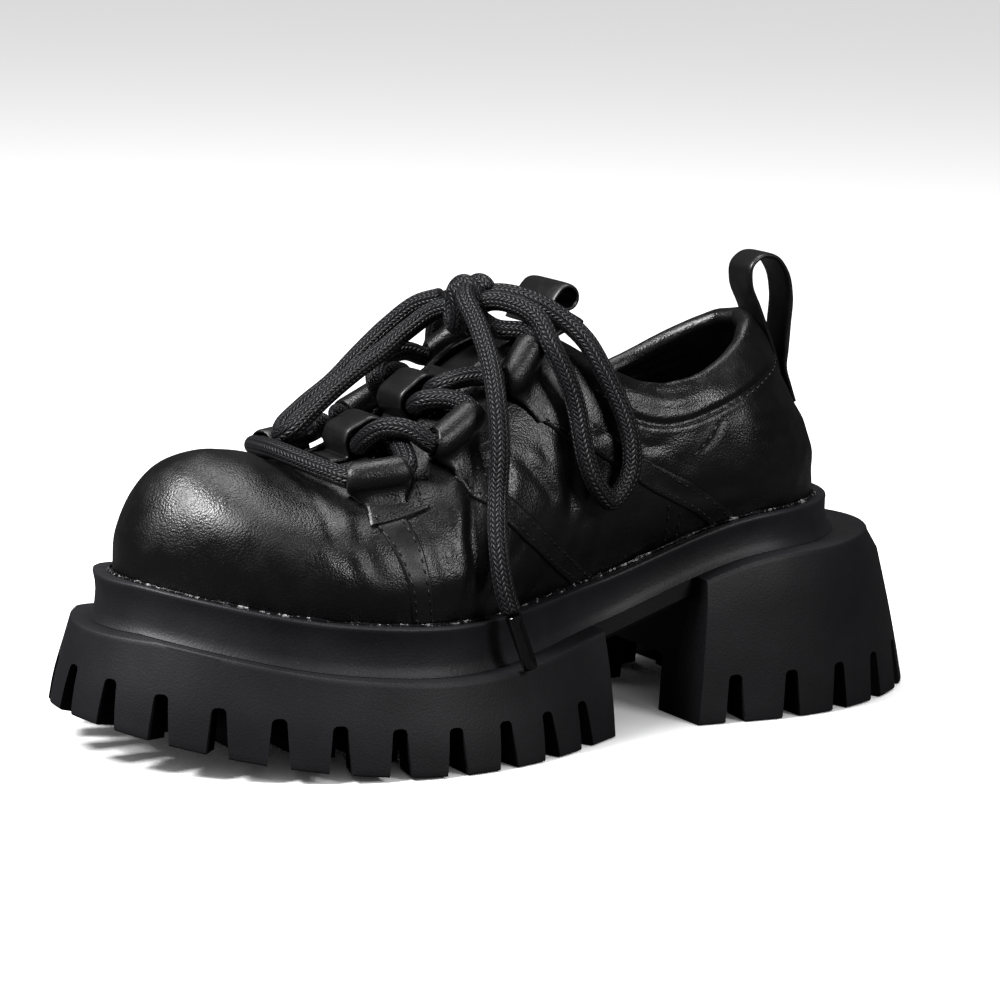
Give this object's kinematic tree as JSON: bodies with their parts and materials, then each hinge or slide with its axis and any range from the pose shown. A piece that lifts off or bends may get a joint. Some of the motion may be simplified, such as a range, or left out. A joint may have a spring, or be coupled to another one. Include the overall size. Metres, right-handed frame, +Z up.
{
  "type": "derby shoe",
  "caption": "Chunky platform derby shoe: hollow leather upper, lace loops on the facings, pull loops, lugged platform sole with a separate-looking heel block.",
  "frame": {"origin": "middle of the sole's outline, on the floor", "axes": "+X towards the toe, +Y towards the wearer's left, the outer side of this left shoe, +Z up"},
  "size_m": [0.3011, 0.1353, 0.1429],
  "materials": {
    "aglet": "gloss",
    "lace": "round braid",
    "leather": "semi-gloss burnished, fine grain",
    "rubber": "matte moulded",
    "sock": "matte"
  },
  "bodies": {
    "root": {"aglet_inner": "aglet", "aglet_outer": "aglet", "heel_pull_loop": "leather", "insole": "sock", "lace_bow_inner": "lace", "lace_bow_outer": "lace", "lace_crossings": "lace", "lace_end_inner": "lace", "lace_end_outer": "lace", "lace_keeper": "leather", "lace_knot": "lace", "lace_loop_inner_1": "leather", "lace_loop_inner_2": "leather", "lace_loop_inner_3": "leather", "lace_loop_outer_1": "leather", "lace_loop_outer_2": "leather", "lace_loop_outer_3": "leather", "midsole": "rubber", "outsole": "rubber", "tongue": "leather", "tongue_pull_loop": "leather", "upper": "leather"}
  },
  "joints": []
}
